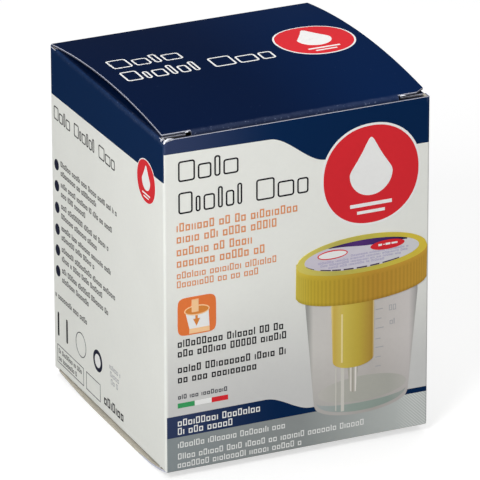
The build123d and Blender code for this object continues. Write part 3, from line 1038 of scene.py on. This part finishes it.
disc_middle = (panel_depth - 39.4, 12.0)
patch("left_disc", ellipse(disc_middle, 2.7, 2.7, 48), left_side, 1, "bullet_ink")
patch("left_disc_middle", ellipse(disc_middle, 1.7, 1.7, 48), left_side, 2, "white_ink")
plain_marks = from_front(((63.6, 62.7, 8.9, 15.0), (58.4, 57.5, 8.9, 15.0)))
cut_boxes("left_plain_marks", plain_marks, left_side, 1, "black_ink", corner=0.4)
print_rows("left_faint_rows", 0.9, 1.2, 0.16, left_side, 1, "pale_grey_ink", 31, *from_front((
    (32.4, 25.8, 13.0), (32.0, 26.4, 11.2), (31.6, 27.0, 9.4)
)))
print_rows("left_frame_rows", 0.8, 1.0, 0.15, left_side, 1, "black_ink", 23, *from_front((
    (63.2, 49.0, 4.6), (63.2, 52.0, 2.7)
)))
print_rows("left_size_row", 1.7, 2.0, 0.4, left_side, 1, "black_ink", 29, *from_front((
    (35.8, 23.6, 2.6),
)))

# Top panel
print_title("top_title", 38.6, 44.4, 0.42, top, "white_ink", (4.2, 22.4, first_word))
print_title(
    "top_subtitle", 30.0, 35.8, 0.42, top, "white_ink",
    (4.0, 23.0, second_word), (25.8, 41.9, third_word),
)
print_badge("top_badge", (53.95, 36.9), 9.55, top)


def torn_fibre(name, places, thickness, panel, ink):
    """A shred of torn paper: a round thread through the given places, six-sided, thinnest at its
    ends and thickest in its middle. Each ring is square to the line between its neighbours."""
    count, sides = len(places), 6
    ahead = np.gradient(places, axis=0)
    ahead /= np.linalg.norm(ahead, axis=1)[:, None]
    sideways = np.cross(ahead, (0.0, 1.0, 0.0))
    sideways /= np.linalg.norm(sideways, axis=1)[:, None]
    upwards = np.cross(sideways, ahead)
    radius = thickness / 2 * mm * (0.35 + 0.65 * np.sin(np.linspace(0, pi, count)))
    turn = np.arange(sides) * 2 * pi / sides
    rings = places[:, None] + radius[:, None, None] * (
        np.cos(turn)[:, None] * sideways[:, None] + np.sin(turn)[:, None] * upwards[:, None]
    )
    numbers = np.arange(count * sides).reshape(count, sides)
    faces = loops_to_faces(numbers[:-1], numbers[1:]).tolist()
    faces += [numbers[0, ::-1].tolist(), numbers[-1].tolist()]
    flat = np.stack((rings[..., 0], rings[..., 2]), -1).reshape(-1, 2) / mm
    finish_piece(name, rings, faces, flat, panel, ink)


# Crushed corner of the front wall: white fibres, each its thickness and its places across,
# behind the front face and above its foot
corner_shreds = (
    (0.26, (-0.40, 0.22, 81.35), (-0.42, 0.2, 81.75), (-0.15, 0.18, 82.05), (0.2, 0.2, 82.0),
     (0.42, 0.22, 81.6)),
    (0.34, (0.1, 0.1, 81.05), (0.45, 0.08, 81.5), (1.0, 0.12, 81.75), (1.7, 0.2, 81.7),
     (2.6, 0.25, 81.55)),
    (0.3, (0.15, 0.0, 80.7), (0.4, -0.03, 81.15), (0.85, 0.0, 81.45), (1.4, 0.1, 81.6)),
)
for number, (thickness, *shred) in enumerate(corner_shreds):
    across, behind, up = np.array(shred).T
    places = on_front(across, up, -behind)
    torn_fibre(f"corner_shred_{number}", places, thickness, front, "torn_board")
scuff = ((0.06, 80.75), (0.5, 81.1), (1.4, 81.36), (2.6, 81.46), (0.06, 81.46))
patch("corner_scuff", scuff, front, 1, "torn_board")

# Burrs of white fibre at the inner ends of the top closure's slits
left_burr = ((5.7, 1.05), (6.5, 1.0), (6.75, 1.45), (6.35, 1.35), (5.9, 1.2))
patch("left_slit_burr", left_burr, top, 1, "torn_board")
right_burr = ((58.9, 1.0), (60.4, 1.0), (60.2, 1.2), (59.5, 1.5), (59.0, 1.3))
patch("right_slit_burr", right_burr, top, 1, "torn_board")

# Camera, at the photograph's own place: found from the carton's corners in it
camera_azimuth = radians(-24.0223)
camera_elevation = radians(22.9338)
camera_roll = radians(-0.1412)
camera_distance = 1.4432
camera_target = Vector((0.00038, 0.0, base_z * mm + 0.03913))
picture_width = 480
focal_pixels = 6228.4
back = Vector((
    sin(camera_azimuth) * cos(camera_elevation),
    -cos(camera_azimuth) * cos(camera_elevation),
    sin(camera_elevation),
))
level_right = Vector((cos(camera_azimuth), sin(camera_azimuth), 0))
level_up = back.cross(level_right)
right = level_right * cos(camera_roll) + level_up * sin(camera_roll)
up = level_up * cos(camera_roll) - level_right * sin(camera_roll)
camera_data = bpy.data.cameras.new("camera")
camera_data.sensor_width = 36.0
camera_data.lens = camera_data.sensor_width * focal_pixels / picture_width
camera_data.clip_start, camera_data.clip_end = 0.1, 10.0
camera = new_object("camera", camera_data)
camera.matrix_world = Matrix.Translation(camera_target + back * camera_distance) @ Matrix(
    (right, up, back)
).transposed().to_4x4()
bpy.context.scene.camera = camera
bpy.context.scene.view_settings.view_transform = "Standard"


def area_light(name, place, aim, size, power):
    data = bpy.data.lights.new(name, "AREA")
    data.shape = "DISK"
    data.size = size
    data.energy = power
    light = new_object(name, data)
    light.location = place
    light.rotation_mode = "QUATERNION"
    light.rotation_quaternion = (Vector(aim) - Vector(place)).to_track_quat("-Z", "Y")


area_light("key_light", (-0.26, -0.25, 0.31), (0, 0, 0.07), 0.16, 1.34)
area_light("fill_light", (0.75, -0.6, 0.30), (0, 0, 0.04), 0.6, 0.4)
area_light("top_light", (0.1, 0.30, 1.0), (0, 0, 0.04), 0.8, 4.0)
world_strength = 0.36
white = (1.0, 1.0, 1.0, 1.0)
world = bpy.data.worlds.new("studio")
world.use_nodes = True
Graph(world.node_tree).feed(
    world.node_tree.nodes["Background"], Color=white, Strength=world_strength
)
bpy.context.scene.world = world

# Floor. Seen straight from the camera it is paler, so that it doesn't light the carton's foot
floor_half = 3.0
floor_grey = (0.45, 0.45, 0.45, 1.0)
floor_glow = 0.62
floor_mesh = bpy.data.meshes.new("floor")
floor_mesh.from_pydata(
    [(x * floor_half, y * floor_half, 0.0) for x, y in ((-1, -1), (1, -1), (1, 1), (-1, 1))],
    [],
    [(0, 1, 2, 3)],
)
floor = new_object("floor", floor_mesh)
floor_material, graph, shader = new_material("pale_floor")
seen = graph.value("ShaderNodeLightPath", output="Is Camera Ray")
graph.feed(
    shader, Base_Color=floor_grey, Roughness=0.7, Emission_Color=white,
    Emission_Strength=seen * floor_glow,
)
floor.data.materials.append(floor_material)
